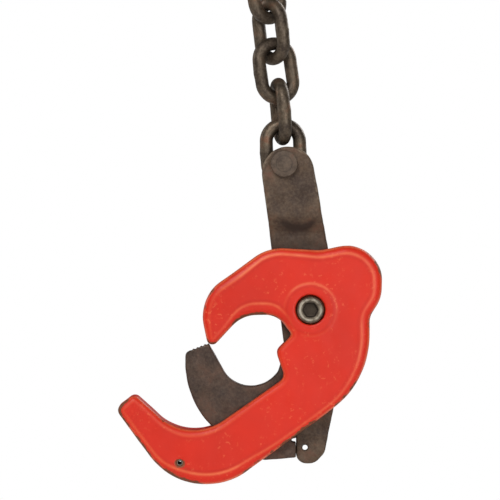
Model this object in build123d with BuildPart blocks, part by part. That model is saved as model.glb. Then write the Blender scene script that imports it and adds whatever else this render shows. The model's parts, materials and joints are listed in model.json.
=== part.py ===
from build123d import *
import os
from math import cos, radians, sin

# Plate lifting clamp hanging from its chain. Millimetres, +Z up, front towards -Y.
# Origin: the hook's seat, at the top of the inside of the master link.

# Master link: wire, and clear width and length inside
MASTER_WIRE = 10
MASTER_INSIDE = (50, 80)
# Chain links, from the lowest up: wire, inside, lean to -X and twist about their length
LINK_WIRE = 8
LINK_INSIDE = (12, 25)
LINK_LEANS = (3, 5, 8, 6.5, 8, 4.5)
LINK_TWISTS = (0, -78, 21, -48, 40, -72)
# From each link's upper crown to the lower crown above it, wire centre to wire centre
CROWN_STEPS = (8.45, 8.4, 9, 8.4, 9.05, 9.75)
CHAIN_SLACK = 0.3
# Chain pin in the fork of the lever, measured from the pivot; head and washer as diameter, thickness
PIN_PLACE = (-15.6, 87.5)
PIN_DIAMETER = 10
PIN_HEAD = (16, 4)
PIN_WASHER = (18, 2)
PIN_RIVETED_END = (13, 2.5)
# Lever: two straps back to back below, cranked apart into a fork above
STRAP = 5
CRANK_FOOT = 46
CRANK_RISE = 10
RIVET_DIAMETER = 6
RIVET_PLACES = ((0, 24), (4, -34), (1, -62))
TAG_HOLE = 3.6
TAG_HOLE_PLACE = (-3, -83)
# Jaw: half thickness, half width of its slot, hub radius and teeth
JAW_HALF = 9.3
JAW_SLOT_HALF = 5.3
JAW_HUB = 16
TOE_OUTER = Vector(-74.9, -25.5)
TOE_INNER = Vector(-61.1, -20.2)
TOOTH_COUNT = 6
TOOTH_DEPTH = 1.0
HEEL_FACE = -8.6
HEEL_RELIEF = (-10.2, -78.4)
RELIEF_RADIUS = 1.2
# Body: two forged halves that meet at webs and leave a pocket for the lever and jaw
BODY_HALF = 17.7
BODY_ROUND = 3.0
POCKET_HALF = 9.7
WEB_RADIUS = 96.2
CLAW_WEB = -43
EAR_WEB = (22, 6)
BOSS = (15.6, 1)
# Fasteners: diameter and length; heads and recesses as diameter, depth
BOLT = (10, 45)
BOLT_HEAD = (16, 7)
BOLT_RECESS = (17.6, 5.5)
BOLT_SOCKET = (8, 4)
BOLT_WASHER = (20, 2)
NUT = (16, 7.5)
NUT_COLLAR = (14.6, 2.5)
BUSH_DIAMETER = 14
SCREW = (6, 22)
SCREW_HEAD = (10, 6)
SCREW_RECESS = (11, 6.5)
SCREW_SOCKET = (5, 3)
SCREW_PLACES = ((-52, 2), (30, 22), (-98, -68), (-50, -92))
ROLL_PIN = (4, 2.2)
ROLL_PIN_PLACE = (-78.1, -91.4)
# Clearance on the radius: turning fits, and holes for fixed fasteners
RUNNING = 0.05
EASY = 0.1

# Outlines in the plane of the body, from the pivot: (x, z, radius of the corner), clockwise
BODY_OUTLINE = (
    (-60.5, -24.3, 3.3),  # tip of the claw
    (-67.4, 6.7, 25),
    (-25.2, 37.4, 28),
    (6.5, 35.5, 18),
    (43, 43.6, 21),  # ear
    (43, 7.3, 20),
    (35.5, -4.2, 11),
    (35.9, -42.7, 54),
    (-71.4, -121.2, 42),  # underside of the hook
    (-116.8, -59.4, 4.5),  # tip of the hook
    (-105.4, -50.2, 4),
    (-72.3, -80.5, 31),  # bowl of the hook
    (-15, -40.7, 5),
    (-20.6, -25, 4.5),  # nose above the arm
    (-11, -15, 2),
    (-19.6, -3.1, 14),  # round throat
    (-40.6, -3.1, 20),
)
LEVER_OUTLINE = (
    (-31, 97.9, 15.3),
    (0, 97.9, 15.3),
    (21.4, -22, 30),
    (8.7, -86, 8),  # lobe that bears on the jaw's heel
    (3.2, -92.6, 8),
    (-8.4, -92.6, 6),
    (-8.4, -77, 20),
)

os.makedirs("parts", exist_ok=True)


def save(piece, name):
    """Label a finished piece and write its STEP file."""
    piece.part.label = name
    export_step(piece.part, f"parts/{name}.step")


def leaning(tilt):
    """Direction of a link's length, leaning from the vertical to -X."""
    return Vector(-sin(radians(tilt)), 0, cos(radians(tilt)))


def link_plane(centre, tilt, twist):
    """Plane of a link: x across it, y along it."""
    length = leaning(tilt)
    level = Vector(cos(radians(tilt)), 0, sin(radians(tilt)))
    across = level * cos(radians(twist)) + Vector(0, 1, 0) * sin(radians(twist))
    return Plane(origin=centre, x_dir=across, z_dir=across.cross(length))


def oval_link(plane, wire, inside):
    """Round wire bent to an oval and welded shut."""
    half_width = (inside[0] + wire) / 2
    shoulder = (inside[1] - inside[0]) / 2
    start = plane.from_local_coords((half_width, -shoulder, 0))
    with BuildPart() as link:
        with BuildLine(plane) as route:
            Line((half_width, -shoulder), (half_width, shoulder))
            ThreePointArc((half_width, shoulder), (0, shoulder + half_width), (-half_width, shoulder))
            Line((-half_width, shoulder), (-half_width, -shoulder))
            ThreePointArc((-half_width, -shoulder), (0, -shoulder - half_width), (half_width, -shoulder))
        with BuildSketch(Plane(origin=start, z_dir=plane.y_dir)):
            Circle(wire / 2)
        sweep(path=route.wires()[0])
    return link


# Where everything hangs, from the master link down
half_link = (LINK_INSIDE[1] + LINK_WIRE) / 2
lower_crown = Vector(0, 0, -MASTER_INSIDE[1] - MASTER_WIRE / 2)
length_above = Vector(0, 0, 1)
link_planes = {}
crowns = {}
for number in range(len(LINK_LEANS), 0, -1):
    length = leaning(LINK_LEANS[number - 1])
    crowns[number] = lower_crown
    upper_crown = lower_crown + (length + length_above).normalized() * CROWN_STEPS[number - 1]
    centre = upper_crown - length * half_link
    link_planes[number] = link_plane(centre, LINK_LEANS[number - 1], LINK_TWISTS[number - 1])
    lower_crown = centre - length * half_link
    length_above = length
chain_pin_centre = lower_crown + length_above * ((PIN_DIAMETER + LINK_WIRE) / 2 + CHAIN_SLACK)
pivot = chain_pin_centre - Vector(PIN_PLACE[0], 0, PIN_PLACE[1])


def facing(y):
    """Plane at depth y, seen from the front, with its origin on the pivot: x is X, y is Z."""
    return Plane(origin=pivot + Vector(0, y, 0), x_dir=(1, 0, 0), z_dir=(0, -1, 0))


def outline(corners):
    """Closed outline with rounded corners, as the face of the sketch being built."""
    with BuildLine() as edge:
        FilletPolyline(*[(x, z) for x, z, _ in corners], radius=[r for _, _, r in corners], close=True)
    make_face(edge.edges())


def turned(y, steps, place=(0, 0)):
    """Round piece with its axis front to back: steps of (diameter, length), backwards from depth y."""
    with BuildPart() as piece:
        for diameter, step in steps:
            y += step
            with BuildSketch(facing(y)):
                with Locations(place):
                    Circle(diameter / 2)
            extrude(amount=step)
    return piece


def washer(y, diameter, bore, thickness, place=(0, 0)):
    """Flat ring or bush, backwards from depth y."""
    with BuildPart() as ring:
        with BuildSketch(facing(y + thickness)):
            with Locations(place):
                Circle(diameter / 2)
                Circle(bore / 2, mode=Mode.SUBTRACT)
        extrude(amount=thickness)
    return ring


# Master link and chain
master_link = oval_link(
    Plane(origin=(0, 0, -MASTER_INSIDE[1] / 2), x_dir=(1, 0, 0), z_dir=(0, -1, 0)), MASTER_WIRE, MASTER_INSIDE
)
save(master_link, "master_link")
for number, plane in link_planes.items():
    save(oval_link(plane, LINK_WIRE, LINK_INSIDE), f"chain_link_{number}")


def strap():
    """Front strap of the lever: flat at the middle plane below, one strap thickness out above."""
    crank_top = CRANK_FOOT + CRANK_RISE
    with BuildPart() as bar:
        with BuildSketch(Plane(origin=pivot - Vector(50, 0, 0), x_dir=(0, 1, 0), z_dir=(1, 0, 0))):
            with BuildLine():
                Polyline(
                    (0, -100), (0, CRANK_FOOT), (-STRAP, crank_top), (-STRAP, 110),
                    (-2 * STRAP, 110), (-2 * STRAP, crank_top), (-STRAP, CRANK_FOOT), (-STRAP, -100),
                    close=True,
                )
            make_face()
        extrude(amount=100)
        with BuildSketch(facing(0)):
            outline(LEVER_OUTLINE)
        extrude(amount=3 * STRAP, mode=Mode.INTERSECT)
        with BuildSketch(facing(0)):
            Circle(BUSH_DIAMETER / 2 + RUNNING)
            with Locations(PIN_PLACE):
                Circle(PIN_DIAMETER / 2 + RUNNING)
            with Locations(TAG_HOLE_PLACE):
                Circle(TAG_HOLE / 2)
            with Locations(RIVET_PLACES):
                Circle(RIVET_DIAMETER / 2)
        extrude(amount=3 * STRAP, mode=Mode.SUBTRACT)
    return bar


# Lever: two straps, flush rivets, chain pin riveted over a washer
lever_front_strap = strap()
save(lever_front_strap, "lever_front_strap")
with BuildPart() as lever_rear_strap:
    mirror(lever_front_strap.part, about=Plane.XZ)
save(lever_rear_strap, "lever_rear_strap")
with BuildPart() as lever_rivets:
    with BuildSketch(facing(STRAP)):
        with Locations(RIVET_PLACES):
            Circle(RIVET_DIAMETER / 2)
    extrude(amount=2 * STRAP)
save(lever_rivets, "lever_rivets")
fork_half = 2 * STRAP
shank_length = 2 * fork_half + PIN_WASHER[1]
chain_pin = turned(
    -fork_half - PIN_HEAD[1], (PIN_HEAD, (PIN_DIAMETER, shank_length), PIN_RIVETED_END), PIN_PLACE
)
save(chain_pin, "chain_pin")
save(washer(fork_half, PIN_WASHER[0], PIN_DIAMETER + 2 * EASY, PIN_WASHER[1], PIN_PLACE), "chain_pin_washer")

# Jaw: toothed crescent, with two ears that straddle the lever and turn on the bush
with BuildPart() as jaw:
    with BuildSketch(facing(JAW_HALF)):
        with BuildLine():
            Polyline(TOE_OUTER, TOE_INNER, (-59.9, -22.4), (-53, -34.5))
            ThreePointArc((-53, -34.5), (-35.5, -46), (-19.3, -37.4))
            Polyline((-19.3, -37.4), (-10.5, -11), (11, -11), (-3, -60), (HEEL_FACE, -74),
                     (HEEL_FACE, -88.8), (-27.7, -90.3))
            ThreePointArc((-27.7, -90.3), (-41.5, -84), (-53, -75.5))
            ThreePointArc((-53, -75.5), (-68.3, -57.6), (-75, -31.5))
            Line((-75, -31.5), TOE_OUTER)
        make_face()
        Circle(JAW_HUB)
    extrude(amount=2 * JAW_HALF)
    with BuildSketch(facing(JAW_SLOT_HALF)):
        with BuildLine():
            Polyline((-29, 79), (HEEL_FACE, -76), (HEEL_FACE, -110), (60, -110), (60, 79), close=True)
        make_face()
    extrude(amount=2 * JAW_SLOT_HALF, mode=Mode.SUBTRACT)
    toe_run = TOE_INNER - TOE_OUTER
    tooth_pitch = toe_run.length / TOOTH_COUNT
    with BuildSketch(facing(JAW_HALF)):
        for gap in range(TOOTH_COUNT):
            with Locations(Plane(origin=TOE_OUTER + toe_run * (gap / TOOTH_COUNT), x_dir=toe_run)):
                Polygon((0.2, 0.1), (tooth_pitch - 0.1, 0.1), (tooth_pitch * 0.4, -TOOTH_DEPTH), align=None)
    extrude(amount=2 * JAW_HALF, mode=Mode.SUBTRACT)
    with BuildSketch(facing(JAW_HALF)):
        Circle(BUSH_DIAMETER / 2 + RUNNING)
        with Locations(HEEL_RELIEF):
            Circle(RELIEF_RADIUS)
            Rectangle(5, 2 * RELIEF_RADIUS, align=(Align.MIN, Align.CENTER))
    extrude(amount=2 * JAW_HALF, mode=Mode.SUBTRACT)
save(jaw, "jaw")


def cheek(bolt_recess, screw_head_side):
    """Front half of the body. The rear half is one of these, mirrored."""
    with BuildPart() as half:
        with BuildSketch(facing(0)):
            outline(BODY_OUTLINE)
        extrude(amount=BODY_HALF)
        fillet(half.faces().sort_by(Axis.Y)[0].edges(), BODY_ROUND)
        with BuildSketch(facing(-BODY_HALF)):
            Circle(BOSS[0])
        extrude(amount=BOSS[1])
        with BuildSketch(facing(0)):
            Circle(WEB_RADIUS)
            with Locations((CLAW_WEB, -26)):
                Rectangle(60, 80, align=(Align.MAX, Align.MIN), mode=Mode.SUBTRACT)
            with Locations(EAR_WEB):
                Rectangle(40, 80, align=(Align.MIN, Align.MIN), mode=Mode.SUBTRACT)
        extrude(amount=POCKET_HALF, mode=Mode.SUBTRACT)
        with Locations(facing(-BODY_HALF - BOSS[1])):
            if bolt_recess:
                CounterBoreHole(BOLT[0] / 2 + EASY, BOLT_RECESS[0] / 2, BOLT_RECESS[1], depth=40)
            else:
                Hole(BOLT[0] / 2 + EASY, depth=40)
        with Locations(facing(-BODY_HALF)):
            with Locations(ROLL_PIN_PLACE):
                Hole(ROLL_PIN[0] / 2, depth=40)
            with Locations(SCREW_PLACES):
                if screw_head_side:
                    CounterBoreHole(SCREW[0] / 2 + EASY, SCREW_RECESS[0] / 2, SCREW_RECESS[1], depth=40)
        if not screw_head_side:
            with BuildSketch(facing(0)):
                with Locations(SCREW_PLACES):
                    Circle(SCREW[0] / 2 + EASY)
            extrude(amount=SCREW[1] - BODY_HALF + SCREW_RECESS[1] + 1.2, mode=Mode.SUBTRACT)
    return half


# Body: two halves, screwed and pinned together
front_cheek = cheek(bolt_recess=True, screw_head_side=False)
save(front_cheek, "front_cheek")
with BuildPart() as rear_cheek:
    mirror(cheek(bolt_recess=False, screw_head_side=True).part, about=Plane.XZ)
save(rear_cheek, "rear_cheek")

# Screws from the rear, heads sunk
with BuildPart() as cheek_screws:
    head_seat = BODY_HALF - SCREW_RECESS[1]
    with BuildSketch(facing(head_seat)):
        with Locations(SCREW_PLACES):
            Circle(SCREW[0] / 2)
    extrude(amount=SCREW[1])
    with BuildSketch(facing(head_seat + SCREW_HEAD[1])):
        with Locations(SCREW_PLACES):
            Circle(SCREW_HEAD[0] / 2)
    extrude(amount=SCREW_HEAD[1])
    with BuildSketch(facing(head_seat + SCREW_HEAD[1])):
        with Locations(SCREW_PLACES):
            RegularPolygon(SCREW_SOCKET[0] / 2, 6, major_radius=False)
    extrude(amount=SCREW_SOCKET[1], mode=Mode.SUBTRACT)
save(cheek_screws, "cheek_screws")

pin_half = BODY_HALF - 0.5
save(washer(-pin_half, ROLL_PIN[0], ROLL_PIN[1], 2 * pin_half, ROLL_PIN_PLACE), "hook_roll_pin")

# Pivot: socket bolt from the front, bush between the cheeks, washer and lock nut at the rear
boss_face = BODY_HALF + BOSS[1]
head_top = -boss_face + BOLT_RECESS[1] - BOLT_HEAD[1]
with BuildPart() as pivot_bolt:
    add(turned(head_top, (BOLT_HEAD, BOLT)).part)
    chamfer(pivot_bolt.faces().sort_by(Axis.Y)[0].edges(), 0.8)
    with BuildSketch(facing(head_top)):
        RegularPolygon(BOLT_SOCKET[0] / 2, 6, major_radius=False)
    extrude(amount=-BOLT_SOCKET[1], mode=Mode.SUBTRACT)
save(pivot_bolt, "pivot_bolt")
bush_bore = BOLT[0] + 2 * EASY
save(washer(-POCKET_HALF, BUSH_DIAMETER, bush_bore, 2 * POCKET_HALF), "pivot_bush")
save(washer(boss_face, BOLT_WASHER[0], bush_bore, BOLT_WASHER[1]), "pivot_washer")
nut_seat = boss_face + BOLT_WASHER[1]
collar_face = nut_seat + NUT[1] + NUT_COLLAR[1]
with BuildPart() as pivot_nut:
    with BuildSketch(facing(nut_seat + NUT[1])):
        RegularPolygon(NUT[0] / 2, 6, major_radius=False)
    extrude(amount=NUT[1])
    with BuildSketch(facing(collar_face)):
        Circle(NUT_COLLAR[0] / 2)
    extrude(amount=NUT_COLLAR[1])
    fillet(pivot_nut.faces().sort_by(Axis.Y)[-1].edges(), 1)
    with BuildSketch(facing(collar_face)):
        Circle(bush_bore / 2)
    extrude(amount=NUT[1] + NUT_COLLAR[1], mode=Mode.SUBTRACT)
save(pivot_nut, "pivot_nut")
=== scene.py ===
import json
import math
import bmesh
import bpy
import numpy as np
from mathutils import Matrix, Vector


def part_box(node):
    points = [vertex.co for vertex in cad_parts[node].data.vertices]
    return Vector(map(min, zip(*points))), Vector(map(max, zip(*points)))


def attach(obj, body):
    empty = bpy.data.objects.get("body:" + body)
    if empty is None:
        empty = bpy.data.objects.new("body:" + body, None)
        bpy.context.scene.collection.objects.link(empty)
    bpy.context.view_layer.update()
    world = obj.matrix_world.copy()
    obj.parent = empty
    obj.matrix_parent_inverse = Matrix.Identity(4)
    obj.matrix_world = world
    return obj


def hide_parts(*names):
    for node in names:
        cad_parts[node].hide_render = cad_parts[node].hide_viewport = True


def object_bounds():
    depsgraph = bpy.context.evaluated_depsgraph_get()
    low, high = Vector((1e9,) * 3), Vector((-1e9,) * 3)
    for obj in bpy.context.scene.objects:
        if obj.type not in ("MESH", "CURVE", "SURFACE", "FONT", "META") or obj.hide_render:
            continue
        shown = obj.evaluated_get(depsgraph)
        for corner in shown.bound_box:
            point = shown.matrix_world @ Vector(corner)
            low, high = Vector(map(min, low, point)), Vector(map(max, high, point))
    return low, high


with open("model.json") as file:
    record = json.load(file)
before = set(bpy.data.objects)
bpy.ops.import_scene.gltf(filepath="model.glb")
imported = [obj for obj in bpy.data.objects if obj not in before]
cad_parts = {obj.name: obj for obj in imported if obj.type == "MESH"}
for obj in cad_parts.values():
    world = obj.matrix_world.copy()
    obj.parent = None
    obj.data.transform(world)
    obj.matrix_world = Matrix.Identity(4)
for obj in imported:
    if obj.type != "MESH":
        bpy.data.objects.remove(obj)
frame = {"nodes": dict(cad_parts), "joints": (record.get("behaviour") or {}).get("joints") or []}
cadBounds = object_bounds()
scene = bpy.context.scene
print("frame loaded")

# Places read from the frame, in metres. The clamp's own pieces are worked out from the pivot, in mm.
mm = 0.001


def middleOf(node):
    low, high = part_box(node)
    return (low + high) / 2


pivot = middleOf("pivot_bush")
chainPin = middleOf("chain_pin")
hookPin = middleOf("hook_roll_pin")


def newPiece(name, mesh):
    piece = bpy.data.objects.new(name, mesh)
    scene.collection.objects.link(piece)
    return piece


def copyOfNode(node, name):
    mesh = frame["nodes"][node].data.copy()
    mesh.materials.clear()
    work = bmesh.new()
    work.from_mesh(mesh)
    bmesh.ops.remove_doubles(work, verts=work.verts, dist=1e-6)
    work.to_mesh(mesh)
    work.free()
    return newPiece(name, mesh)


def applyModifiers(piece):
    graph = bpy.context.evaluated_depsgraph_get()
    made = bpy.data.meshes.new_from_object(piece.evaluated_get(graph))
    old = piece.data
    piece.modifiers.clear()
    piece.data = made
    bpy.data.meshes.remove(old)


def remeshed(piece, voxel):
    grain = piece.modifiers.new("grain", "REMESH")
    grain.mode = "VOXEL"
    grain.voxel_size = voxel * mm
    applyModifiers(piece)


def pointsOf(piece):
    points = np.empty(len(piece.data.vertices) * 3, np.float32)
    piece.data.vertices.foreach_get("co", points)
    return points.reshape(-1, 3).astype(float)


def setPoints(piece, points):
    piece.data.vertices.foreach_set("co", points.astype(np.float32).ravel())
    piece.data.update()


def smoothShaded(piece):
    piece.data.polygons.foreach_set("use_smooth", [True] * len(piece.data.polygons))


def storeValue(piece, name, values):
    layer = piece.data.attributes.new(name, "FLOAT", "POINT")
    layer.data.foreach_set("value", values.astype(np.float32))


def smoothStep(low, high, values):
    share = np.clip((values - low) / (high - low), 0, 1)
    return share * share * (3 - 2 * share)


def band(values, middle, width):
    # 1 along a line, fading out to both sides of it
    return np.exp(-((values - middle) / width) ** 2)


def spot(x, z, middleX, middleZ, reach):
    # 1 at a place on the face, fading out around it
    return np.exp(-((x - middleX) ** 2 + (z - middleZ) ** 2) / reach ** 2)


def finishPiece(piece, body, material, node):
    smoothShaded(piece)
    piece.data.materials.clear()
    piece.data.materials.append(material)
    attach(piece, body)
    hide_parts(node)


# Level view from the front, pale floor and soft lamps
view = {"distance": 2.4, "fieldWidth": 0.300, "aimFromPivot": (-36.1, -9, 35.8), "sensor": 36, "clipEnd": 50}
studio = {
    "worldSeen": 1.0, "worldLight": 0.10, "floorDrop": 0.12, "floorRadius": 1.5, "floorSides": 96,
    "floorColour": (0.9, 0.9, 0.89, 1), "floorRough": 0.8,
}
lamps = {
    "keyLight": {"place": (-0.5, -1.6, 1.0), "size": 0.9, "power": 20},
    "fillLight": {"place": (0.7, -1.7, 0.1), "size": 0.9, "power": 10},
    "backLight": {"place": (1.3, 1.5, 1.0), "size": 1.2, "power": 26},
    "sideLight": {"place": (-1.7, 0.6, 0.7), "size": 1.0, "power": 9},
}
aim = pivot + Vector(view["aimFromPivot"]) * mm


def makeCamera():
    lens = bpy.data.cameras.new("viewCamera")
    lens.sensor_width = view["sensor"]
    lens.lens = view["sensor"] * view["distance"] / view["fieldWidth"]
    lens.clip_end = view["clipEnd"]
    camera = bpy.data.objects.new("viewCamera", lens)
    camera.location = aim - Vector((0, view["distance"], 0))
    camera.rotation_euler = (math.radians(90), 0, 0)
    scene.collection.objects.link(camera)
    scene.camera = camera
    scene.view_settings.view_transform = "Standard"


def makeWorld():
    # White behind the clamp, and a weaker light from all round it
    world = bpy.data.worlds.new("studioWorld")
    world.use_nodes = True
    tree = world.node_tree
    tree.nodes.clear()
    out = tree.nodes.new("ShaderNodeOutputWorld")
    seen = tree.nodes.new("ShaderNodeBackground")
    lit = tree.nodes.new("ShaderNodeBackground")
    paths = tree.nodes.new("ShaderNodeLightPath")
    mix = tree.nodes.new("ShaderNodeMixShader")
    for background, strength in ((seen, studio["worldSeen"]), (lit, studio["worldLight"])):
        background.inputs["Color"].default_value = (1, 1, 1, 1)
        background.inputs["Strength"].default_value = strength
    tree.links.new(paths.outputs["Is Camera Ray"], mix.inputs["Fac"])
    tree.links.new(lit.outputs[0], mix.inputs[1])
    tree.links.new(seen.outputs[0], mix.inputs[2])
    tree.links.new(mix.outputs[0], out.inputs["Surface"])
    scene.world = world


def makeLamp(name, place, size, power):
    light = bpy.data.lights.new(name, "AREA")
    light.size = size
    light.energy = power
    lamp = bpy.data.objects.new(name, light)
    lamp.location = aim + Vector(place)
    lamp.rotation_euler = (aim - lamp.location).to_track_quat("-Z", "Y").to_euler()
    scene.collection.objects.link(lamp)


def makeFloor():
    mesh = bpy.data.meshes.new("studioFloor")
    work = bmesh.new()
    bmesh.ops.create_circle(work, cap_ends=True, segments=studio["floorSides"], radius=studio["floorRadius"])
    work.to_mesh(mesh)
    work.free()
    floor = newPiece("studioFloor", mesh)
    floor.location = (0, 0, cadBounds[0].z - studio["floorDrop"])
    paint = bpy.data.materials.new("floorPaint")
    paint.use_nodes = True
    shader = paint.node_tree.nodes["Principled BSDF"]
    shader.inputs["Base Color"].default_value = studio["floorColour"]
    shader.inputs["Roughness"].default_value = studio["floorRough"]
    mesh.materials.append(paint)


makeCamera()
makeWorld()
for name, lamp in lamps.items():
    makeLamp(name, **lamp)
makeFloor()
print("camera and studio ready")


# Shader helpers: every effect below is a group with its own named inputs
def newGroup(name, inputs, output):
    group = bpy.data.node_groups.new(name, "ShaderNodeTree")
    for label, value in inputs.items():
        socket = group.interface.new_socket(name=label, in_out="INPUT", socket_type="NodeSocketFloat")
        socket.default_value = value
    group.interface.new_socket(name=output, in_out="OUTPUT", socket_type="NodeSocketFloat")
    given = group.nodes.new("NodeGroupInput").outputs
    result = group.nodes.new("NodeGroupOutput").inputs[output]
    return group, given, result


def feed(tree, socket, value):
    if isinstance(value, bpy.types.NodeSocket):
        tree.links.new(value, socket)
    else:
        socket.default_value = value


def noiseOf(tree, scale, detail=4.0, rough=0.55):
    place = tree.nodes.new("ShaderNodeTexCoord")
    noise = tree.nodes.new("ShaderNodeTexNoise")
    for label, value in (("Vector", place.outputs["Object"]), ("Scale", scale), ("Detail", detail),
                         ("Roughness", rough)):
        feed(tree, noise.inputs[label], value)
    return noise.outputs["Fac"]


def mathOf(tree, operation, first, second, clamp=False):
    node = tree.nodes.new("ShaderNodeMath")
    node.operation = operation
    node.use_clamp = clamp
    feed(tree, node.inputs[0], first)
    feed(tree, node.inputs[1], second)
    return node.outputs[0]


def rangeOf(tree, value, low, high, toLow=0.0, toHigh=1.0):
    node = tree.nodes.new("ShaderNodeMapRange")
    for label, item in (("Value", value), ("From Min", low), ("From Max", high), ("To Min", toLow),
                        ("To Max", toHigh)):
        feed(tree, node.inputs[label], item)
    return node.outputs["Result"]


def mixOf(tree, factor, first, second):
    node = tree.nodes.new("ShaderNodeMix")
    node.data_type = "RGBA"
    for socket, value in zip((node.inputs[0], node.inputs[6], node.inputs[7]), (factor, first, second)):
        feed(tree, socket, value)
    return node.outputs[2]


def layerOver(tree, colour, mask, share, above):
    # Lays one colour over another where the mask is, at a share of its full strength
    return mixOf(tree, mathOf(tree, "MULTIPLY", mask, share), colour, above)


def attributeOf(tree, name):
    node = tree.nodes.new("ShaderNodeAttribute")
    node.attribute_name = name
    return node.outputs["Fac"]


def makePatches():
    # Blotches that cover a share of the surface, with a soft or a hard rim
    inputs = {"Scale": 60, "Detail": 5, "Cover": 0.5, "Softness": 0.1}
    group, given, mask = newGroup("patches", inputs, "Mask")
    noise = noiseOf(group, given["Scale"], given["Detail"], rough=0.6)
    edge = mathOf(group, "SUBTRACT", 1.0, given["Cover"])
    low = mathOf(group, "SUBTRACT", edge, given["Softness"])
    high = mathOf(group, "ADD", edge, given["Softness"])
    group.links.new(rangeOf(group, noise, low, high), mask)
    return group


def makeForgeGrain():
    # Height of a coarse grain with a finer one on it
    inputs = {"Coarse Scale": 150, "Fine Scale": 900, "Fine Share": 0.35}
    group, given, height = newGroup("forgeGrain", inputs, "Height")
    coarse = noiseOf(group, given["Coarse Scale"], detail=3.0, rough=0.6)
    fine = noiseOf(group, given["Fine Scale"], detail=3.0, rough=0.6)
    fine = mathOf(group, "MULTIPLY", fine, given["Fine Share"])
    group.links.new(mathOf(group, "ADD", coarse, fine), height)
    return group


def makeEdgeWear():
    # The places that an attribute marks, broken up by noise
    inputs = {"Edge": 0, "Scale": 200, "Amount": 0.5, "Hardness": 8}
    group, given, mask = newGroup("edgeWear", inputs, "Mask")
    noise = noiseOf(group, given["Scale"], detail=5.0, rough=0.65)
    broken = mathOf(group, "MULTIPLY", mathOf(group, "SUBTRACT", noise, 0.5), 1.6)
    pushed = mathOf(group, "ADD", broken, given["Edge"])
    above = mathOf(group, "SUBTRACT", pushed, mathOf(group, "SUBTRACT", 1.0, given["Amount"]))
    group.links.new(mathOf(group, "MULTIPLY", above, given["Hardness"], clamp=True), mask)
    return group


patches = makePatches()
forgeGrain = makeForgeGrain()
edgeWear = makeEdgeWear()


def useGroup(tree, group, **values):
    node = tree.nodes.new("ShaderNodeGroup")
    node.node_tree = group
    for label, value in values.items():
        feed(tree, node.inputs[label.replace("_", " ")], value)
    return node.outputs[0]


def bumpInto(tree, shader, height, strength):
    bump = tree.nodes.new("ShaderNodeBump")
    for label, value in (("Height", height), ("Strength", strength), ("Distance", 0.6 * mm)):
        feed(tree, bump.inputs[label], value)
    tree.links.new(bump.outputs["Normal"], shader.inputs["Normal"])


# Colours are linear red, green, blue
enamel = {
    "body": (0.740, 0.028, 0.011), "deep": (0.470, 0.018, 0.008), "lit": (0.930, 0.210, 0.080),
    "chipAndShadeBrown": (0.110, 0.060, 0.026), "dirtAndShadeBrown": (0.170, 0.085, 0.035),
    "rough": 0.40, "coat": 0.06, "coatRough": 0.25, "shine": 0.22, "peel": 0.22,
}
steels = {
    "chainSteel": {
        "base": (0.135, 0.100, 0.066), "dark": (0.050, 0.034, 0.024), "rust": (0.165, 0.075, 0.042),
        "wornAndLit": (0.290, 0.230, 0.160), "rustCover": 0.42, "rough": 0.46, "metal": 0.60, "grain": 0.45},
    "leverSteel": {
        "base": (0.108, 0.066, 0.039), "dark": (0.050, 0.028, 0.018), "rust": (0.135, 0.060, 0.036),
        "wornAndLit": (0.210, 0.155, 0.105), "rustCover": 0.38, "rough": 0.62, "metal": 0.35, "grain": 0.30},
    "jawSteel": {
        "base": (0.088, 0.050, 0.033), "dark": (0.041, 0.023, 0.016), "rust": (0.120, 0.056, 0.034),
        "wornAndLit": (0.170, 0.120, 0.080), "rustCover": 0.38, "rough": 0.60, "metal": 0.35, "grain": 0.50},
    "pinSteel": {
        "base": (0.125, 0.085, 0.058), "dark": (0.055, 0.036, 0.026), "rust": (0.135, 0.062, 0.040),
        "wornAndLit": (0.200, 0.150, 0.105), "rustCover": 0.38, "rough": 0.60, "metal": 0.35, "grain": 0.30},
    "boltSteel": {
        "base": (0.240, 0.200, 0.145), "dark": (0.060, 0.042, 0.028), "rust": (0.170, 0.090, 0.050),
        "wornAndLit": (0.520, 0.460, 0.360), "rustCover": 0.40, "rough": 0.42, "metal": 0.75, "grain": 0.20},
    "rollPinSteel": {
        "base": (0.200, 0.160, 0.120), "dark": (0.030, 0.022, 0.018), "rust": (0.150, 0.070, 0.040),
        "wornAndLit": (0.420, 0.360, 0.290), "rustCover": 0.44, "rough": 0.45, "metal": 0.70, "grain": 0.15},
    "nutSteel": {
        "base": (0.190, 0.165, 0.130), "dark": (0.060, 0.048, 0.036), "rust": (0.150, 0.075, 0.040),
        "wornAndLit": (0.420, 0.370, 0.300), "rustCover": 0.40, "rough": 0.42, "metal": 0.75, "grain": 0.20},
    "screwSteel": {
        "base": (0.062, 0.054, 0.046), "dark": (0.024, 0.020, 0.017), "rust": (0.110, 0.052, 0.030),
        "wornAndLit": (0.220, 0.190, 0.160), "rustCover": 0.38, "rough": 0.45, "metal": 0.65, "grain": 0.20},
    "bushBronze": {
        "base": (0.400, 0.215, 0.090), "dark": (0.160, 0.085, 0.040), "rust": (0.200, 0.110, 0.055),
        "wornAndLit": (0.600, 0.380, 0.180), "rustCover": 0.35, "rough": 0.38, "metal": 0.85, "grain": 0.12},
}


def newMaterial(name):
    material = bpy.data.materials.new(name)
    material.use_nodes = True
    return material, material.node_tree, material.node_tree.nodes["Principled BSDF"]


def opaque(*colours):
    return [tuple(colour) + (1,) for colour in colours]


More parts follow.
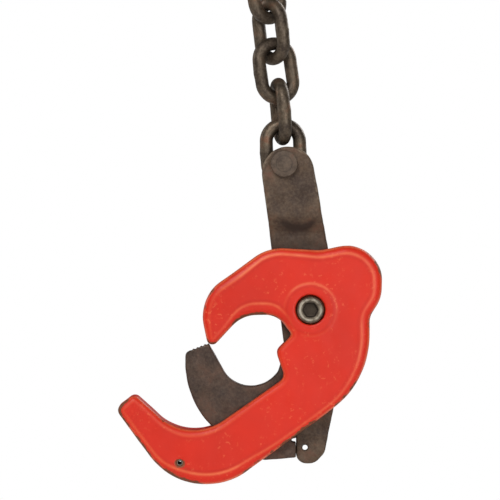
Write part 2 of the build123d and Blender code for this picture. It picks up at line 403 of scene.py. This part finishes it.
def makeSteel(name, base, dark, rust, wornAndLit, rustCover, rough, metal, grain):
    material, tree, shader = newMaterial(name)
    shadeColour = [0.65 * part for part in dark]
    base, dark, rust, wornAndLit, shadeColour = opaque(base, dark, rust, wornAndLit, shadeColour)
    cloudy = rangeOf(tree, noiseOf(tree, 70, detail=6, rough=0.65), low=0.38, high=0.60)
    colour = mixOf(tree, cloudy, dark, base)
    speckle = useGroup(tree, patches, Scale=620, Detail=3, Cover=0.47, Softness=0.10)
    colour = layerOver(tree, colour, speckle, 0.20, wornAndLit)
    pits = useGroup(tree, patches, Scale=480, Detail=4, Cover=0.40, Softness=0.06)
    colour = layerOver(tree, colour, pits, 0.45, dark)
    rusty = useGroup(tree, patches, Scale=70, Detail=6, Cover=rustCover, Softness=0.07)
    fleck = useGroup(tree, patches, Scale=330, Detail=4, Cover=0.52, Softness=0.10)
    colour = layerOver(tree, colour, mathOf(tree, "MULTIPLY", rusty, fleck), 0.85, rust)
    # worn metal, and on the lever straps a painted highlight along the lip above the crank, in the worn
    # colour
    wearAndPaintedLight = useGroup(tree, edgeWear, Edge=attributeOf(tree, "edge"), Scale=240, Amount=0.42, Hardness=3)
    colour = layerOver(tree, colour, wearAndPaintedLight, 0.8, wornAndLit)
    # painted shade: a darker copy of the steel wherever the shade attribute is set
    colour = layerOver(tree, colour, attributeOf(tree, "shade"), 0.92, shadeColour)
    tree.links.new(colour, shader.inputs["Base Color"])
    shader.inputs["Metallic"].default_value = metal
    uneven = rangeOf(tree, noiseOf(tree, 160, rough=0.6), 0.3, 0.7, rough - 0.10, rough + 0.14)
    smoother = mathOf(tree, "SUBTRACT", uneven, mathOf(tree, "MULTIPLY", wearAndPaintedLight, 0.12))
    tree.links.new(smoother, shader.inputs["Roughness"])
    height = useGroup(tree, forgeGrain, Coarse_Scale=190, Fine_Scale=1100, Fine_Share=0.35)
    bumpInto(tree, shader, height, grain)
    return material


def makeEnamel(name, body, deep, lit, chipAndShadeBrown, dirtAndShadeBrown, rough, coat, coatRough, shine, peel):
    material, tree, shader = newMaterial(name)
    body, deep, lit, chipAndShadeBrown, dirtAndShadeBrown = opaque(body, deep, lit, chipAndShadeBrown, dirtAndShadeBrown)
    cloudy = rangeOf(tree, noiseOf(tree, 28), low=0.35, high=0.70)
    colour = layerOver(tree, body, cloudy, 0.35, deep)
    # Scuffs: short pale streaks on the flat of the body, gathered in patches
    streaks = useGroup(tree, patches, Scale=420, Detail=3, Cover=0.36, Softness=0.04)
    gathered = useGroup(tree, patches, Scale=60, Detail=3, Cover=0.5, Softness=0.1)
    colour = layerOver(tree, colour, mathOf(tree, "MULTIPLY", streaks, gathered), 0.35, lit)
    # Lit lines and shaded hollows, both uneven along their length
    uneven = rangeOf(tree, noiseOf(tree, 70), 0.30, 0.60, 0.35, 1.0)
    colour = layerOver(tree, colour, attributeOf(tree, "glint"), uneven, lit)
    uneven = rangeOf(tree, noiseOf(tree, 120), 0.3, 0.7, 0.55, 1.0)
    colour = layerOver(tree, colour, attributeOf(tree, "shade"), uneven, deep)
    # Dirt, with painted shade in the pocket and the bolt's recess, then bare steel where the paint is knocked
    # off
    dustAndShade = useGroup(tree, edgeWear, Edge=attributeOf(tree, "grimeAndShade"), Scale=190, Amount=0.45, Hardness=3)
    colour = layerOver(tree, colour, dustAndShade, 0.8, dirtAndShadeBrown)
    # the chip colour also paints a line of painted shade along the claw's inner arc
    chipsAndShade = useGroup(tree, edgeWear, Edge=attributeOf(tree, "edge"), Scale=150, Amount=0.44, Hardness=6)
    colour = layerOver(tree, colour, chipsAndShade, 0.85, chipAndShadeBrown)
    tree.links.new(colour, shader.inputs["Base Color"])
    shader.inputs["Specular IOR Level"].default_value = shine
    shader.inputs["Coat Weight"].default_value = coat
    shader.inputs["Coat Roughness"].default_value = coatRough
    bare = mathOf(tree, "MAXIMUM", chipsAndShade, mathOf(tree, "MULTIPLY", dustAndShade, 0.6))
    dull = mathOf(tree, "MULTIPLY", mathOf(tree, "MAXIMUM", bare, attributeOf(tree, "shade")), 0.28)
    gloss = rangeOf(tree, noiseOf(tree, 90, rough=0.6), 0.3, 0.7, rough - 0.06, rough + 0.08)
    tree.links.new(mathOf(tree, "ADD", gloss, dull), shader.inputs["Roughness"])
    skin = useGroup(tree, forgeGrain, Coarse_Scale=120, Fine_Scale=650, Fine_Share=0.20)
    height = mathOf(tree, "SUBTRACT", skin, mathOf(tree, "MULTIPLY", chipsAndShade, 0.35))
    bumpInto(tree, shader, height, peel)
    return material


materials = {name: makeSteel(name, **finish) for name, finish in steels.items()}
materials["redEnamel"] = makeEnamel("redEnamel", **enamel)
print("materials ready")


# Chain: each link is a welded oval of round wire, laid on the axis its CAD link turns about.
# Ripples are waves along the wire, waves around it and share. The inside of each oval gets painted shade,
# strongest at the crowns.
chain = {
    "links": 6, "linkWire": 8, "linkInside": (12, 25), "linkSeed": 40,
    "masterWire": 10, "masterInside": (50, 80), "masterSeed": 60,
    "weldBulge": 0.35, "weldLength": 3.2, "neckPlace": 1.6, "neckLength": 0.5, "neckDepth": 0.22,
    "dents": 0.10, "ripples": ((3, 2, 1.0), (7, 3, 0.7), (13, 1, 0.5)),
    "wornOutside": 0.42, "wornWeld": 0.15, "crownShade": 0.85, "legShade": 0.30, "crownReach": 1.5,
    "roundSteps": 160, "wireSteps": 28,
}
joints = {joint["name"]: joint for joint in frame["joints"]}


def jointPlace(name):
    return Vector(joints[name]["pos_m"])


def ovalRoute(width, leg, steps):
    # Places and directions along the centre of the wire: a welded leg, a half round, a leg and a half round
    radius = width / 2
    arc = math.pi * radius
    total = 2 * (leg + arc)
    for step in range(steps):
        along = step / steps * total
        if along < leg:
            yield radius, along - leg / 2, 0, 1, True
        elif along < leg + arc:
            turn = (along - leg) / radius
            out, up = math.cos(turn), math.sin(turn)
            yield radius * out, leg / 2 + radius * up, -up, out, False
        elif along < 2 * leg + arc:
            yield -radius, 1.5 * leg + arc - along, 0, -1, False
        else:
            turn = (along - 2 * leg) / radius
            out, up = math.cos(turn), math.sin(turn)
            yield radius * out, -leg / 2 + radius * up, -up, out, False


def weldSwell(fromWeld):
    neck = chain["neckDepth"] * math.exp(-((abs(fromWeld) - chain["neckPlace"]) / chain["neckLength"]) ** 2)
    return math.exp(-(fromWeld / chain["weldLength"]) ** 2) - neck


def ripple(phase, turn, wave):
    total = 0
    for (alongWire, aroundWire, share), first, second in zip(chain["ripples"], wave[::2], wave[1::2]):
        total += share * math.sin(alongWire * phase + first) * math.sin(aroundWire * turn + second)
    return total


def tubeMesh(name, rings):
    work = bmesh.new()
    rows = [[work.verts.new(place) for place in ring] for ring in rings]
    for first, second in zip(rows, rows[1:] + rows[:1]):
        for step in range(len(first)):
            following = (step + 1) % len(first)
            work.faces.new((first[step], second[step], second[following], first[following]))
    bmesh.ops.recalc_face_normals(work, faces=work.faces)
    mesh = bpy.data.meshes.new(name)
    work.to_mesh(mesh)
    work.free()
    return mesh


def ovalLink(name, centre, across, along, weldSide, wire, inside, seed):
    normal = across.cross(along).normalized()
    across = across * weldSide
    wave = np.random.default_rng(seed).uniform(0, 2 * math.pi, 2 * len(chain["ripples"]))
    leg = inside[1] - inside[0]
    rings = []
    edges = []
    shades = []
    for index, (x, y, dx, dy, welded) in enumerate(ovalRoute(inside[0] + wire, leg, chain["roundSteps"])):
        middle = centre + (across * x + along * y) * mm
        outward = (across * dy - along * dx).normalized()
        swell = weldSwell(y) if welded else 0.0
        phase = index / chain["roundSteps"] * 2 * math.pi
        insideShade = chain["crownShade"] if abs(y) > leg / 2 + chain["crownReach"] else chain["legShade"]
        ring = []
        for step in range(chain["wireSteps"]):
            turn = step / chain["wireSteps"] * 2 * math.pi
            facing = math.cos(turn)  # 1 on the outside of the oval, -1 on its inside
            radius = wire / 2 + chain["weldBulge"] * swell * (0.6 + 0.4 * facing)
            radius += chain["dents"] * (0.35 * ripple(phase, turn, wave) - 0.5)
            ring.append(middle + (outward * facing + normal * math.sin(turn)) * (radius * mm))
            # painted shade on the inside of the oval, strongest at the crowns where the links cross
            shades.append(max(0.0, -facing) ** 1.5 * insideShade)
            edges.append(max(0.0, facing) ** 2 * chain["wornOutside"] + chain["wornWeld"] * swell)
        rings.append(ring)
    piece = newPiece(name, tubeMesh(name, rings))
    storeValue(piece, "edge", np.array(edges))
    storeValue(piece, "shade", np.array(shades))
    return piece


for number in range(chain["links"], 0, -1):
    node = "chain_link_%d" % number
    centre = middleOf(node)
    normal = Vector(joints["link_%d_swing" % number]["axis"]).normalized()
    below = jointPlace("link_%d_swing" % (number - 1) if number > 1 else "lever_swing")
    along = (centre - below).normalized()
    across = along.cross(normal).normalized()
    weldSide = 1 if across.x * (-1) ** number > 0 else -1  # the welds take turns left and right
    link = ovalLink("weldedLink%d" % number, centre, across, along, weldSide, chain["linkWire"],
                    chain["linkInside"], chain["linkSeed"] + number)
    finishPiece(link, "link_%d" % number, materials["chainSteel"], node)
ring = ovalLink("masterRing", middleOf("master_link"), Vector((1, 0, 0)), Vector((0, 0, 1)), 1,
                chain["masterWire"], chain["masterInside"], chain["masterSeed"])
finishPiece(ring, "master", materials["chainSteel"], "master_link")
print("chain welded")


# Forged and machined pieces: a fine even skin over the CAD shape, then eased and dented
def edgesOf(piece):
    ends = np.empty(len(piece.data.edges) * 2, np.int32)
    piece.data.edges.foreach_get("vertices", ends)
    return ends.reshape(-1, 2)


def averaged(points, ends, steps, weight=1.0):
    # Each step moves every point halfway, times its weight, to the middle of its neighbours
    points = points.copy()
    count = len(points)
    around = np.bincount(ends.ravel(), minlength=count)[:, None]
    for _ in range(steps):
        total = np.empty_like(points)
        for axis in range(3):
            total[:, axis] = np.bincount(ends[:, 0], weights=points[ends[:, 1], axis], minlength=count)
            total[:, axis] += np.bincount(ends[:, 1], weights=points[ends[:, 0], axis], minlength=count)
        points += 0.5 * weight * (total / around - points)
    return points


def ease(piece, steps, weight=1.0):
    setPoints(piece, averaged(pointsOf(piece), edgesOf(piece), steps, weight))


def normalsOf(piece):
    normals = np.empty(len(piece.data.vertices) * 3, np.float32)
    piece.data.vertices.foreach_get("normal", normals)
    return normals.reshape(-1, 3).astype(float)


def dent(piece, depth, size, seed, weight=1.0):
    # Low uneven waves in every direction: each octave is finer and shallower
    points = pointsOf(piece)
    source = np.random.default_rng(seed)
    height = np.zeros(len(points))
    for octave in range(3):
        for _ in range(6):
            direction = source.normal(size=3)
            direction /= np.linalg.norm(direction)
            wave = points @ direction / (size * mm) * 2 * math.pi * 1.7 ** octave
            height += np.sin(wave + source.uniform(0, 2 * math.pi)) * 0.6 ** octave
    height *= depth * mm / 3.2
    setPoints(piece, points + normalsOf(piece) * (height * weight)[:, None])


def shapeWear(piece, steps=10, scale=0.30):
    # Convex places stand proud of their surroundings and wear; hollows get painted shade
    points = pointsOf(piece)
    pulled = averaged(points, edgesOf(piece), steps) - points
    proud = -np.einsum("ij,ij->i", pulled, normalsOf(piece)) / (scale * mm)
    return np.clip(proud, 0, 1), np.clip(-proud, 0, 1)


def fromPivot(points):
    return (points - np.array(pivot)) / mm


def storeWearAndPaintedLight(piece, edge, shade):
    storeValue(piece, "edge", np.clip(edge, 0, 1))
    storeValue(piece, "shade", np.clip(shade, 0, 1))


# Body halves. Depth is measured from the middle plane out to the face, rim from the edge of the flat.
body = {
    "voxel": 0.72, "innerHalf": 10.2, "outerHalf": 17.7, "cadRound": 3.0, "eases": 3,
    "rolls": (2.6, 4.6), "rollPower": 2.2, "bossRadius": 15.6, "bossRise": 0.55, "recess": 8.8,
    "dents": 0.10, "dentSize": 30, "dentSeed": 7,
    "crease": 4.2, "creaseStrength": 0.4, "creaseStep": 0.30, "creaseSoft": 0.8,
    # Where the flash line runs further in or shows more, with a deeper step and stronger painted highlight
    # and painted shade: x, z, reach, distance, strength
    "creasePlaces": (
        (-20, 30, 22, 3.6, 0.9), (10, 36, 14, 4.6, 0.9), (38, 30, 18, 5.2, 0.75), (34, -14, 18, 5.2, 0.6),
        (0, -72, 18, 3.0, 0.3), (-60, -108, 22, 6.8, 0.9), (-100, -85, 16, 3.2, 0.4),
        (-92, -58, 14, 2.6, 0.15), (-58, -70, 14, 2.8, 0.25), (-35, -55, 14, 2.6, 0.1),
        (-16, -38, 9, 2.4, 0.05), (-12, -22, 10, 2.4, 0.05), (-6, -8, 9, 3.0, 0.02), (-13, -3, 5, 5.0, 0.15),
        (-29, 3, 13, 8.4, 1.0), (-50, -14, 8, 3.0, 0.1), (-60, -18, 7, 3.0, 0.1), (-65, 5, 16, 4.0, 0.22)),
    # Where the paint is knocked off: x, z, reach, amount. The last place, along the top of the claw's inner
    # arc, is a line of painted shade drawn as knocked paint
    "knocksAndShade": (
        (-66, 8, 14, 0.25), (44, 28, 12, 0.50), (38, -8, 10, 0.45), (28, -55, 14, 0.45), (0, -82, 20, 0.55),
        (-30, -108, 14, 0.60), (-62, -118, 14, 0.60), (-78, -108, 16, 0.70), (-104, -84, 14, 0.50),
        (-117, -60, 12, 0.55), (-60, -24, 6, 0.35), (-33, -4, 15, 0.60)),
    # Where dirt is rubbed into the face: x, z, reach, amount; and around the hook's pin: from, to, amount
    "dirtPlaces": ((-84, -101, 9.5, 0.76), (-60, -112, 10.5, 0.68)),
    "pinDirt": ((2.4, 4.4, 0.95), (4.0, 13.0, 0.42)),
}
flatHalf = body["outerHalf"] - body["cadRound"]


def outlineOf(node):
    # The edge where the rounding of the outer face begins, as pairs of x, z
    mesh = frame["nodes"][node].data
    points = fromPivot(np.array([vertex.co for vertex in mesh.vertices], float))
    ends = np.array([edge.vertices for edge in mesh.edges])
    level = np.abs(np.abs(points[:, 1]) - flatHalf) < 0.02
    kept = ends[level[ends[:, 0]] & level[ends[:, 1]]]
    return points[kept[:, 0]][:, (0, 2)], points[kept[:, 1]][:, (0, 2)]


def distanceTo(outline, places):
    starts, stops = outline
    runs = stops - starts
    lengths = np.maximum((runs ** 2).sum(1), 1e-9)
    nearest = np.full(len(places), 1e9)
    for start, run, length in zip(starts, runs, lengths):
        along = np.clip((places - start) @ run / length, 0, 1)
        gap = places - start - along[:, None] * run
        nearest = np.minimum(nearest, (gap ** 2).sum(1))
    return np.sqrt(nearest)


def placeMix(x, z, column, base):
    # A value of the crease all over the face: its own near each place, the base value elsewhere
    total = np.full(len(x), 1.0)
    value = np.full(len(x), float(base))
    for place in body["creasePlaces"]:
        near = 6 * spot(x, z, *place[:3])
        total += near
        value += near * place[column]
    return value / total


def rollFace(depth, rim, around, crease, strength):
    # The CAD face has a small round at its edge: here it rolls over further, with a flash line and a boss
    rounded = np.clip(body["cadRound"] - rim, 0, body["cadRound"])
    cadTop = flatHalf + np.sqrt(body["cadRound"] ** 2 - rounded ** 2)
    cadTop = np.where(around < body["bossRadius"] + 0.3, body["outerHalf"] + 1, cadTop)
    roll = np.clip(crease, *body["rolls"])
    rolled = 1 - np.clip(rim / roll, 0, 1)
    height = body["outerHalf"] - roll * (1 - np.sqrt(1 - rolled ** body["rollPower"]))
    soft = body["creaseSoft"]
    height -= body["creaseStep"] * strength * (1 - smoothStep(crease - soft, crease + soft, rim))
    height += body["bossRise"] * (1 - smoothStep(body["bossRadius"] - 2.0, body["bossRadius"] + 1.6, around))
    inner = body["innerHalf"]
    share = np.clip((depth - inner) / (np.maximum(cadTop, depth) - inner), 0, 1)
    return np.where(depth > inner, inner + share * (height - inner), depth)


def paintGlint(depth, z, rim, around, crease, strength):
    face = smoothStep(11.5, 13.5, depth)
    line = strength * band(rim, crease - 0.2, 0.75) * face
    litLip = (0.45 + 0.5 * strength) * band(rim, 0.55, 0.6) * smoothStep(10.5, 12.5, depth)
    boss = band(around, body["bossRadius"] + 0.2, 0.7) * face * (rim > 6)
    boss *= 0.16 + 0.42 * smoothStep(5, 15, z)
    return np.maximum(np.maximum(line, litLip), boss)


def paintShade(depth, rim, around, crease, strength, hollowShade):
    face = smoothStep(11.5, 13.5, depth)
    line = 0.55 * strength * band(rim, crease + 1.6, 0.8) * face
    boss = 0.35 * band(around, body["bossRadius"] - 1.6, 0.8) * face
    wall = 0.75 * (1 - smoothStep(0.1, 0.5, rim)) * (1 - smoothStep(10.0, 12.5, depth))
    return np.maximum(np.maximum(line, boss), np.maximum(hollowShade * 0.6, wall))


def paintEdge(depth, x, z, rim, proud):
    knocksAndShade = np.zeros(len(x))
    # knocked paint, and at the claw's inner arc a line of painted shade, both shown in the chip colour
    for *place, amount in body["knocksAndShade"]:
        knocksAndShade = np.maximum(knocksAndShade, amount * spot(x, z, *place))
    outside = smoothStep(9, 12, depth)
    wearAndPaintedLight = band(rim, 0.6, 1.3) * outside * (0.32 + 0.55 * knocksAndShade)
    flakedAndShaded = knocksAndShade * np.exp(-rim / 5.5) * (0.15 + 0.50 * outside)
    return wearAndPaintedLight + flakedAndShaded + proud * 0.12


def paintGrimeAndShade(depth, x, z, rim, around, isFront):
    seam = 0.8 * (1 - smoothStep(0.3, 1.0, depth)) * (rim < 1.5)
    # inside the pocket between the halves: dirt and painted shade
    pocket = 0.9 * (depth < body["innerHalf"]) * (rim > 1.2)
    grimeAndShade = np.maximum(seam, pocket)
    pinGap = np.hypot(x - pinPlace[0], z - pinPlace[2])
    for near, far, amount in body["pinDirt"]:
        grimeAndShade = np.maximum(grimeAndShade, amount * (1 - smoothStep(near, far, pinGap)))
    smear = sum(amount * spot(x, z, *place) for *place, amount in body["dirtPlaces"])
    grimeAndShade = np.maximum(grimeAndShade, smear * smoothStep(11.5, 13.5, depth))
    if isFront:  # the bolt's recess is in the front half
        # painted shade, with dirt, darkens the bolt's recess
        grimeAndShade = np.maximum(grimeAndShade, 1 - smoothStep(body["recess"] - 0.5, body["recess"] + 0.9, around))
    return grimeAndShade


def forgedCheek(node, name):
    piece = copyOfNode(node, name)
    remeshed(piece, body["voxel"])
    local = fromPivot(pointsOf(piece))
    x, y, z = local.T
    side = np.sign(y.mean())
    rim = distanceTo(outlineOf(node), local[:, (0, 2)])
    around = np.hypot(x, z)
    crease = placeMix(x, z, 3, body["crease"])
    strength = placeMix(x, z, 4, body["creaseStrength"])
    depth = rollFace(y * side, rim, around, crease, strength)
    local[:, 1] = depth * side
    setPoints(piece, local * mm + np.array(pivot))
    ease(piece, body["eases"])
    dent(piece, body["dents"], body["dentSize"], body["dentSeed"], weight=(depth > 1).astype(float))

    # What the paint needs: lit lines, shaded hollows, knocked edges with one line of painted shade among
    # them, and dirt with painted shade in the pocket and the bolt's recess
    proud, hollowShade = shapeWear(piece, 8, 0.35)
    x, y, z = fromPivot(pointsOf(piece)).T
    depth = y * side
    edge = paintEdge(depth, x, z, rim, proud)
    shade = paintShade(depth, rim, around, crease, strength, hollowShade)
    storeWearAndPaintedLight(piece, edge, shade)
    storeValue(piece, "glint", np.clip(paintGlint(depth, z, rim, around, crease, strength), 0, 1))
    storeValue(piece, "grimeAndShade", np.clip(paintGrimeAndShade(depth, x, z, rim, around, side < 0), 0, 1))
    finishPiece(piece, "body", materials["redEnamel"], node)


pinPlace = fromPivot(np.array(hookPin))
forgedCheek("front_cheek", "frontForging")
forgedCheek("rear_cheek", "rearForging")
print("body halves forged")

# Jaw: the toothed end stays crisp, and its outer corner is rounded off.
# The toothed end is given as x, z, half length, half height and slope, the corner as x, z and reach.
jaw = {
    "voxel": 0.5, "eases": 7, "toothEases": 1, "dents": 0.10, "dentSize": 16, "dentSeed": 3,
    "toothZone": (-68, -23.3, 7.2, 3.2, 21), "softCorner": (-74.9, -25.5, 2.6), "cornerEases": 45,
}


def toothShare(local):
    middleX, middleZ, long, tall, slope = jaw["toothZone"]
    slope = math.radians(slope)
    along = (local[:, 0] - middleX) * math.cos(slope) + (local[:, 2] - middleZ) * math.sin(slope)
    above = -(local[:, 0] - middleX) * math.sin(slope) + (local[:, 2] - middleZ) * math.cos(slope)
    return (1 - smoothStep(long - 1, long + 1, np.abs(along))) * smoothStep(-tall, -tall + 1.5, above)


def forgedJaw(node, name):
    piece = copyOfNode(node, name)
    remeshed(piece, jaw["voxel"])
    local = fromPivot(pointsOf(piece))
    teeth = toothShare(local)
    ease(piece, jaw["toothEases"])
    ease(piece, jaw["eases"], (1 - teeth)[:, None])
    ease(piece, jaw["cornerEases"], spot(local[:, 0], local[:, 2], *jaw["softCorner"])[:, None])
    dent(piece, jaw["dents"], jaw["dentSize"], jaw["dentSeed"], weight=1 - teeth)
    proud, hollowShade = shapeWear(piece)
    # painted shade over the toothed end, on top of the shade in its hollows
    storeWearAndPaintedLight(piece, proud * 0.8 + teeth * 0.15, hollowShade + teeth * 0.2)
    finishPiece(piece, "jaw", materials["jawSteel"], node)


# Lever straps: the crank, between two heights over the pivot, is eased into soft bends.
# At its foot is a curved line of painted shade, the smile, with a painted highlight along the lip over it;
# lower down the body casts painted shadow.
lever = {
    "voxel": 0.6, "eases": 6, "crank": (46, 56), "crankEases": 22,
    "dents": 0.10, "dentSize": 14, "dentSeeds": {"lever_front_strap": 11, "lever_rear_strap": 12},
    "smileX": -7.5, "smileRise": 3.2, "smileCurve": 0.034, "smileHalf": (7, 13), "smileShadeAmount": 1.3,
    "lipX": -10, "lipRise": 7, "lipHalf": (5, 12), "lipHighlight": 0.25, "bodyShadow": 0.55,
}


def forgedStrap(node, name):
    piece = copyOfNode(node, name)
    remeshed(piece, lever["voxel"])
    ease(piece, lever["eases"])
    low, high = lever["crank"]
    heights = fromPivot(pointsOf(piece))[:, 2]
    crankZone = smoothStep(low - 8, low - 3, heights) * (1 - smoothStep(high + 3, high + 8, heights))
    ease(piece, lever["crankEases"], crankZone[:, None])
    dent(piece, lever["dents"], lever["dentSize"], lever["dentSeeds"][node])
    proud, hollowShade = shapeWear(piece)
    x, y, z = fromPivot(pointsOf(piece)).T
    # a curved line of painted shade at the crank's foot, with a painted highlight along the lip over it
    smile = low + lever["smileRise"] + lever["smileCurve"] * (x - lever["smileX"]) ** 2
    smileShade = lever["smileShadeAmount"] * band(z, smile, 2.4)
    smileShade *= 1 - smoothStep(*lever["smileHalf"], np.abs(x - lever["smileX"]))
    litLip = lever["lipHighlight"] * band(z, smile + lever["lipRise"], 2.0)
    litLip *= 1 - smoothStep(*lever["lipHalf"], np.abs(x - lever["lipX"]))
    # painted shadow of the body over the lower part of the strap
    under = lever["bodyShadow"] * (1 - smoothStep(37, 50, z)) * smoothStep(-40, 20, z)
    # lighter above the crank
    edge = proud * 0.75 + 0.22 * smoothStep(low + 5, high + 3, z) + litLip
    storeWearAndPaintedLight(piece, edge, np.maximum(hollowShade, under) + smileShade)
    finishPiece(piece, "lever", materials["leverSteel"], node)


forgedJaw("jaw", "forgedJaw")
forgedStrap("lever_front_strap", "frontStrap")
forgedStrap("lever_rear_strap", "rearStrap")
print("jaw and lever forged")

# Fasteners: fine skin over each, with its own steel and body; a slot is listed for each
fasteners = {
    "pivot_bolt": {"name": "pivotBolt", "voxel": 0.26, "eases": 2, "body": "body", "slot": "bolt_steel",
                   "steel": "boltSteel"},
    "pivot_nut": {"name": "lockNut", "voxel": 0.28, "eases": 3, "body": "body", "slot": "bolt_steel",
                  "steel": "nutSteel"},
    "pivot_washer": {"name": "nutWasher", "voxel": 0.25, "eases": 2, "body": "body", "slot": "bolt_steel",
                     "steel": "nutSteel"},
    "cheek_screws": {"name": "cheekScrews", "voxel": 0.28, "eases": 2, "body": "body", "slot": "screw_steel",
                     "steel": "screwSteel"},
    "hook_roll_pin": {"name": "rollPin", "voxel": 0.2, "eases": 2, "body": "body", "slot": "pin_steel",
                      "steel": "rollPinSteel"},
    "lever_rivets": {"name": "flushRivets", "voxel": 0.3, "eases": 2, "body": "lever", "slot": "pin_steel",
                     "steel": "pinSteel"},
    "chain_pin_washer": {"name": "pinWasher", "voxel": 0.25, "eases": 3, "body": "lever", "slot": "pin_steel",
                         "steel": "pinSteel"},
    "chain_pin": {"name": "rivetedPin", "voxel": 0.3, "eases": 5, "body": "lever", "slot": "pin_steel",
                  "steel": "pinSteel"},
}
# Bolt head: where its face begins, the socket (painted shade inside it), and the worn ring from the socket's
# edge out
boltHead = {"face": (-19.6, -18.6), "socketRadius": 4.9, "socketFloor": -14, "ring": (5.2, 5.8, 6.4, 7.0),
            "bevelWear": 0.58, "uneven": 0.18}
# Chain pin: how far the riveted ends are crowned, where each end begins, and the ring pressed into the head,
# drawn as painted shade
pinHead = {"dome": 0.45, "domeReach": 8, "front": (-12.0, -13.8), "rear": (12.6, 14.2), "ringRadius": 4.8,
           "ringWidth": 0.35, "ringShadeAmount": 0.6}


def boltWear(piece, proud, hollowShade):
    x, y, z = fromPivot(pointsOf(piece)).T
    around = np.hypot(x, z)
    face = 1 - smoothStep(*boltHead["face"], y)
    ringStart, ringFull, bevelStart, bevelFull = boltHead["ring"]
    ring = smoothStep(ringStart, ringFull, around)
    ring *= 1 - (1 - boltHead["bevelWear"]) * smoothStep(bevelStart, bevelFull, around)
    # the ring is lighter on the left of the head than on the right
    lopsided = 1 - boltHead["uneven"] * (1 + x / np.maximum(around, 1))
    # painted shade inside the socket
    socket = (around < boltHead["socketRadius"]) * (y < boltHead["socketFloor"])
    return np.maximum(proud * 0.4, face * ring * lopsided), np.maximum(hollowShade * 0.5, socket)


def crownPin(piece, proud, hollowShade):
    local = fromPivot(pointsOf(piece))
    centre = fromPivot(np.array(chainPin))
    around = np.hypot(local[:, 0] - centre[0], local[:, 2] - centre[2])
    dome = pinHead["dome"] * np.clip(1 - (around / pinHead["domeReach"]) ** 2, 0, 1)
    ends = np.where(local[:, 1] < 0, smoothStep(*pinHead["front"], local[:, 1]),
                    smoothStep(*pinHead["rear"], local[:, 1]))
    local[:, 1] -= np.sign(local[:, 1]) * ends * (pinHead["dome"] - dome)
    setPoints(piece, local * mm + np.array(pivot))
    # a ring of painted shade on the front head, standing for a pressed groove that is not modelled
    ringShade = pinHead["ringShadeAmount"] * band(around, pinHead["ringRadius"], pinHead["ringWidth"])
    return proud, np.maximum(hollowShade, ringShade * (local[:, 1] < -12))


finishingTouches = {"pivot_bolt": boltWear, "chain_pin": crownPin}


def fastener(node, name, voxel, eases, body, slot, steel):
    piece = copyOfNode(node, name)
    remeshed(piece, voxel)
    ease(piece, eases)
    proud, hollowShade = shapeWear(piece, 6, 0.16)
    if node in finishingTouches:
        proud, hollowShade = finishingTouches[node](piece, proud, hollowShade)
    storeWearAndPaintedLight(piece, proud, hollowShade)
    finishPiece(piece, body, materials[steel], node)


for node, make in fasteners.items():
    fastener(node, **make)
bush = frame["nodes"]["pivot_bush"]
bush.data.materials.clear()
bush.data.materials.append(materials["bushBronze"])
print("fasteners fitted")
